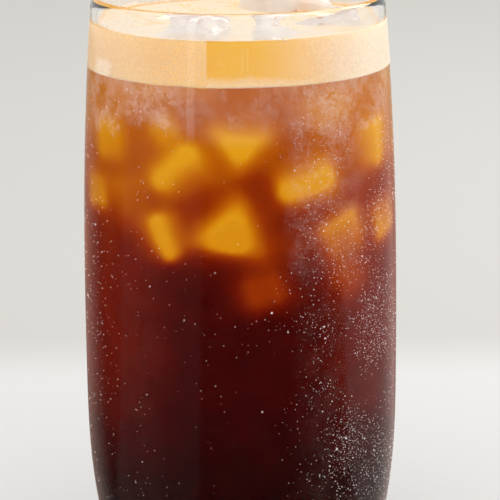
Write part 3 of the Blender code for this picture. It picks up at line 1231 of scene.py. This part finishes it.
class ICEDDRINK_OT_foam(Operator):
    """Make the foam layer that lies on the coffee"""

    bl_idname = "iced_drink.foam"
    bl_label = "Foam"

    def execute(self, context):
        foam_bottom = context.scene.drink.foam_bottom
        reach = inner_radius(FOAM_TOP) + FOAM_REACH
        profile = [(reach * share**0.7, FOAM_TOP) for share in steps(0.0, 1.0, 44)]
        heights = steps(FOAM_TOP, foam_bottom, 14)[1:]
        profile += [(inner_radius(z) + FOAM_REACH, z) for z in heights]
        profile += [(reach * share, foam_bottom + 0.0002) for share in steps(0.97, 0.0, 10)]
        piece = turned("crema_layer", profile, 240, foam_finish())
        for point in piece.data.vertices:
            place = point.co
            turn = math.radians(turn_of(place))
            if place.z > FOAM_TOP - MM * 0.01:
                fine = noise.noise(place * 600.0) * 0.00007 + noise.noise(place * 240.0) * 0.0001
                place.z += foam_relief(place) + fine
            elif place.z < foam_bottom + MM * 0.05:
                round_trip = Vector((math.cos(turn), math.sin(turn), 0.4))
                wavy = noise.noise(round_trip * 4.0) + 0.6 * noise.noise(round_trip * 16.0)
                place.z += 0.00035 * wavy
        cut_round_ice(piece, 0.00006)
        settle(piece, "coffee_foam", "crema")
        return {"FINISHED"}


class ICEDDRINK_OT_bubbles(Operator):
    """Strew bubbles on the foam"""

    bl_idname = "iced_drink.bubbles"
    bl_label = "Foam Bubbles"

    def execute(self, context):
        source = bpy.data.objects["crema_layer"]
        piece = new_piece("foam_bubbles", source.data.copy())
        shape = bmesh.new()
        shape.from_mesh(piece.data)
        unwanted = [f for f in shape.faces if f.normal.z < 0.8 or f.calc_center_median().z < 0.1325]
        bmesh.ops.delete(shape, geom=unwanted, context="FACES")
        shape.to_mesh(piece.data)
        shape.free()
        wet = piece.data.attributes.new("wetness", "FLOAT", "POINT")
        wet.data.foreach_set("value", [
            max(0.0, 0.25 + 1.6 * noise.noise(v.co * 130.0)) for v in piece.data.vertices
        ])
        values = {
            "Most per Square Metre": context.scene.drink.bubbles_per_area,
            "Least Gap": 0.00045, "Smallest": 0.00012, "Largest": 0.00065,
            "Size Power": 3.0, "Flatness": 0.55, "Sink": 0.25, "Round Steps": 10, "Rings": 6,
            "Seed": 4, "Material": bubble_finish(),
        }
        run_nodes(piece, scatter_tree(), values)
        settle(piece, "coffee_foam")
        return {"FINISHED"}


def tube(name, low, high, rows, offset, radius, turn_steps, finish):
    """An open film that follows the glass between two heights."""
    heights = steps(low, high, rows)
    profile = [(radius(z) + offset, z) for z in heights]
    piece = turned(name, profile, turn_steps, finish, closed=False)
    shape = bmesh.new()
    shape.from_mesh(piece.data)
    middle = [f for f in shape.faces if f.normal.dot(f.calc_center_median()) < 0]
    bmesh.ops.reverse_faces(shape, faces=middle)
    shape.to_mesh(piece.data)
    shape.free()
    return piece


class ICEDDRINK_OT_films(Operator):
    """Make the white dew outside the glass and the foam left inside it"""

    bl_idname = "iced_drink.films"
    bl_label = "Dew and Residue"

    def execute(self, context):
        dew = tube("dew_film", 0.008, 0.1375, 110, 0.00006, outer_radius, 180, dew_finish())
        settle(dew, "clear_glass")
        residue = tube(
            "foam_residue", FOAM_TOP - 0.001, 0.1382, 12, -0.00005, inner_radius, 180,
            residue_finish(),
        )
        settle(residue, "coffee_foam")
        return {"FINISHED"}


def wetness(place):
    """How densely beads stand at a place on the outside of the glass."""
    turn, height = turn_of(place), place.z / MM
    side = math.exp(-(((turn - 52) / 22) ** 2)) + 0.10 * math.exp(-(((turn + 62) / 26) ** 2))
    side += 0.35 * math.exp(-(((math.remainder(turn - 165, 360)) / 60) ** 2))
    rows = 1.0 / (1.0 + math.exp(-(height - 24) / 7)) / (1.0 + math.exp((height - 120) / 3))
    clump = 0.55 + 1.3 * noise.noise(place * 90.0)
    return max(0.0, min(1.0, (0.02 + side) * rows * clump))


class ICEDDRINK_OT_beads(Operator):
    """Strew beads of dew on the outside of the glass"""

    bl_idname = "iced_drink.beads"
    bl_label = "Dew Beads"

    def execute(self, context):
        settings = context.scene.dew
        finish = drop_finish()
        for name, values in (
            ("dew_beads", {
                "Most per Square Metre": settings.beads_per_area, "Least Gap": 0.00028,
                "Smallest": settings.smallest, "Largest": settings.largest, "Size Power": 2.5,
                "Flatness": 0.6, "Sink": 0.15, "Round Steps": 6, "Rings": 3, "Seed": 2,
            }),
            ("dew_drops", {
                "Most per Square Metre": settings.beads_per_area * 0.012, "Least Gap": 0.0016,
                "Smallest": settings.largest, "Largest": settings.largest * 2.0,
                "Size Power": 2.0, "Flatness": 0.45, "Sink": 0.2, "Round Steps": 14, "Rings": 8,
                "Seed": 9,
            }),
        ):
            piece = tube(name, 0.012, 0.1275, 100, 0.00004, outer_radius, 140, finish)
            wet = piece.data.attributes.new("wetness", "FLOAT", "POINT")
            wet.data.foreach_set("value", [wetness(v.co) for v in piece.data.vertices])
            run_nodes(piece, scatter_tree(), {**values, "Material": finish})
            settle(piece, "clear_glass")
        return {"FINISHED"}


def build_studio(graph, come, go):
    """Brightness of the studio for reflections, by the turn of a place or direction."""
    split = graph.node("ShaderNodeSeparateXYZ")
    graph.feed(split.inputs[0], come.outputs["Place"])
    away = graph.maths("MULTIPLY", split.outputs["Y"], -1.0)
    angle = graph.maths("ARCTAN2", split.outputs["X"], away)
    turn = graph.maths("MULTIPLY", angle, math.degrees(1.0))
    right = graph.maths("MULTIPLY", band(graph, turn, 80.0, 140.0, 8.0, 12.0), 0.27)
    left = graph.maths("MULTIPLY", band(graph, turn, -88.0, -30.0, 6.0, 5.0), 0.07)
    behind = graph.maths("ABSOLUTE", turn)
    behind = graph.maths("MULTIPLY", graph.ranged(behind, 150.0, 172.0), 0.30)
    total = graph.maths("MAXIMUM", graph.maths("MAXIMUM", right, left), behind)
    flat = graph.vector("MULTIPLY", come.outputs["Place"], (1.0, 1.0, 0.0))
    flat = graph.call("ShaderNodeVectorMath", {0: flat}, 1, operation="LENGTH")
    rise = graph.maths("DIVIDE", split.outputs["Z"], graph.maths("MAXIMUM", flat, 0.001))
    room = graph.maths("MULTIPLY", come.outputs["Far"], 0.85)
    above = graph.maths("MULTIPLY", graph.ranged(rise, 0.45, 0.75), 2.2)
    total = graph.maths("MAXIMUM", total, graph.maths("MAXIMUM", room, above))
    panes = band(graph, turn, 68.0, 82.0, 2.0)
    for start, end in ((118.0, 134.0), (-66.0, -58.0), (-38.0, -32.0)):
        panes = graph.maths("MAXIMUM", panes, band(graph, turn, start, end, 2.0))
    panes = graph.maths("MULTIPLY", panes, band(graph, rise, 0.35, 1.6, 0.1, 0.3))
    total = graph.maths("MAXIMUM", total, graph.maths("MULTIPLY", panes, 7.0))
    tall = graph.maths("MULTIPLY", band(graph, turn, -38.0, -33.0, 1.5), 2.6)
    total = graph.maths("MAXIMUM", total, graph.maths("MULTIPLY", tall, room))
    graph.feed(go.inputs["Light"], graph.maths("ADD", total, 0.015))


def studio_light(graph, place, far):
    inputs = [("Place", "NodeSocketVector", None), ("Far", "NodeSocketFloat", 0.0)]
    tree = shader_group("Studio sides", build_studio, inputs, [("Light", "NodeSocketFloat")])
    made = graph.node("ShaderNodeGroup", node_tree=tree)
    graph.feed(made.inputs["Place"], place)
    graph.feed(made.inputs["Far"], far)
    return made.outputs["Light"]


def mirrored(graph, path):
    """One for a ray that was reflected by a shiny surface."""
    return graph.maths("MULTIPLY", path.outputs["Is Glossy Ray"], path.outputs["Is Reflection Ray"])


def make_floor(settings):
    """A pale round table whose far part takes the wall's colour."""
    piece = turned("table", [(0.0, -0.0002), (0.4, -0.0002), (3.0, -0.0002)], 96, None, False)
    if piece.data.polygons[0].normal.z < 0:
        piece.data.flip_normals()
    made, graph, shader = material("pale_table", Roughness=0.9)
    shader.inputs["Specular IOR Level"].default_value = 0.0
    place = graph.node("ShaderNodeTexCoord").outputs["Object"]
    split = graph.node("ShaderNodeSeparateXYZ")
    graph.feed(split.inputs[0], place)
    far = graph.ranged(split.outputs["Y"], 0.135, 0.190)
    colour = graph.mixed(far, (*settings.table, 1.0), (*settings.wall, 1.0))
    graph.feed(shader.inputs["Base Color"], colour)
    path = graph.node("ShaderNodeLightPath")
    glow = graph.node("ShaderNodeEmission")
    away = graph.call("ShaderNodeVectorMath", {0: place}, 1, operation="LENGTH")
    light = studio_light(graph, place, graph.ranged(away, 1.00, 1.30))
    graph.feed(glow.inputs["Strength"], light)
    both = graph.node("ShaderNodeMixShader")
    graph.feed(both.inputs[0], mirrored(graph, path))
    graph.feed(both.inputs[1], shader.outputs[0])
    graph.feed(both.inputs[2], glow.outputs[0])
    graph.feed(surface_of(made), both.outputs[0])
    piece.data.materials.clear()
    piece.data.materials.append(made)


def make_world(settings):
    """Even light for the pieces, the wall's colour for the eye, windows for reflections."""
    world = bpy.data.worlds.new("studio")
    bpy.context.scene.world = world
    world.use_nodes = True
    graph = Graph(world.node_tree)
    shade = world.node_tree.nodes["Background"]
    path = graph.node("ShaderNodeLightPath")
    way = graph.node("ShaderNodeTexCoord").outputs["Generated"]
    split = graph.node("ShaderNodeSeparateXYZ")
    graph.feed(split.inputs[0], way)
    high = graph.ranged(split.outputs["Z"], 0.45, 0.62)
    backdrop = tuple(n * 1.46 for n in settings.wall)
    seen = graph.mixed(high, (*backdrop, 1.0), (2.0, 2.0, 1.98, 1.0))
    even = graph.mixed(
        graph.ranged(split.outputs["Z"], 0.1, 0.8),
        tuple(n * settings.light * 1.16 for n in (1.0, 0.99, 0.975)) + (1.0,),
        tuple(n * settings.light * 0.88 for n in (1.0, 0.99, 0.975)) + (1.0,),
    )
    seen = graph.mixed(path.outputs["Is Diffuse Ray"], seen, even)
    light = studio_light(graph, way, 1.0)
    shine = graph.call("ShaderNodeCombineXYZ", {n: light for n in "XYZ"})
    colour = graph.mixed(mirrored(graph, path), seen, shine)
    graph.feed(shade.inputs["Color"], colour)


def area_light(name, place, target, size, power, colour=(1.0, 1.0, 1.0)):
    lamp = bpy.data.lights.new(name, "AREA")
    lamp.shape = "RECTANGLE"
    lamp.size, lamp.size_y = size
    lamp.energy = power
    lamp.color = colour
    made = new_piece(name, lamp)
    made.location = place
    way = Vector(target) - Vector(place)
    made.rotation_euler = way.to_track_quat("-Z", "Y").to_euler()
    made.visible_camera = False
    return made


def make_camera():
    """A long lens at the photograph's height, distance and slight lean."""
    camera = bpy.data.cameras.new("camera")
    camera.lens = 155.1
    camera.sensor_width = 36.0
    made = new_piece("camera", camera)
    pitch, yaw, roll = (math.radians(a) for a in (14.78, 0.266, 0.5))
    forward = Vector((
        math.sin(yaw) * math.cos(pitch), math.cos(yaw) * math.cos(pitch), -math.sin(pitch)
    ))
    right = Vector((math.cos(yaw), -math.sin(yaw), 0.0))
    up = right.cross(forward)
    leaning_right = right * math.cos(roll) - up * math.sin(roll)
    leaning_up = right * math.sin(roll) + up * math.cos(roll)
    spin = Matrix((leaning_right, leaning_up, -forward)).transposed()
    made.matrix_world = Matrix.Translation((0.0, -0.5, 0.210)) @ spin.to_4x4()
    camera.clip_start = 0.01
    bpy.context.scene.camera = made


class ICEDDRINK_OT_stage(Operator):
    """Make the pale floor, the soft light and the camera"""

    bl_idname = "iced_drink.stage"
    bl_label = "Stage"

    def execute(self, context):
        settings = context.scene.stage
        make_floor(settings)
        make_world(settings)
        area_light("window_light", (0.55, 0.35, 0.75), (0, 0, 0.08), (0.5, 0.5), 3.0)
        make_camera()
        context.scene.view_settings.view_transform = "Standard"
        return {"FINISHED"}


class ICEDDRINK_PT_panel(Panel):
    bl_idname = "ICEDDRINK_PT_panel"
    bl_label = "Iced Drink"
    bl_space_type = "VIEW_3D"
    bl_region_type = "UI"
    bl_category = "Iced Drink"

    def draw(self, context):
        for title, settings in (
            ("Tumbler", context.scene.tumbler),
            ("Drink", context.scene.drink),
            ("Ice", context.scene.ice),
            ("Dew", context.scene.dew),
            ("Stage", context.scene.stage),
        ):
            box = self.layout.box()
            box.label(text=title)
            for name in settings.__annotations__:
                box.prop(settings, name)
        for operator in OPERATORS:
            self.layout.operator(operator.bl_idname)


SETTINGS = {
    "tumbler": TumblerSettings,
    "drink": DrinkSettings,
    "ice": IceSettings,
    "dew": DewSettings,
    "stage": StageSettings,
}
OPERATORS = (
    ICEDDRINK_OT_tumbler,
    ICEDDRINK_OT_floating_ice,
    ICEDDRINK_OT_sunk_ice,
    ICEDDRINK_OT_coffee,
    ICEDDRINK_OT_foam,
    ICEDDRINK_OT_bubbles,
    ICEDDRINK_OT_films,
    ICEDDRINK_OT_beads,
    ICEDDRINK_OT_stage,
)


def register():
    for made in (*SETTINGS.values(), *OPERATORS, ICEDDRINK_PT_panel):
        bpy.utils.register_class(made)
    for name, made in SETTINGS.items():
        setattr(bpy.types.Scene, name, PointerProperty(type=made))


def unregister():
    for name in SETTINGS:
        delattr(bpy.types.Scene, name)
    for made in (ICEDDRINK_PT_panel, *reversed(OPERATORS), *reversed(SETTINGS.values())):
        bpy.utils.unregister_class(made)


def main():
    register()
    for operator in OPERATORS:
        name = operator.bl_idname.split(".")[1]
        getattr(bpy.ops.iced_drink, name)()


if __name__ == "__main__":
    main()
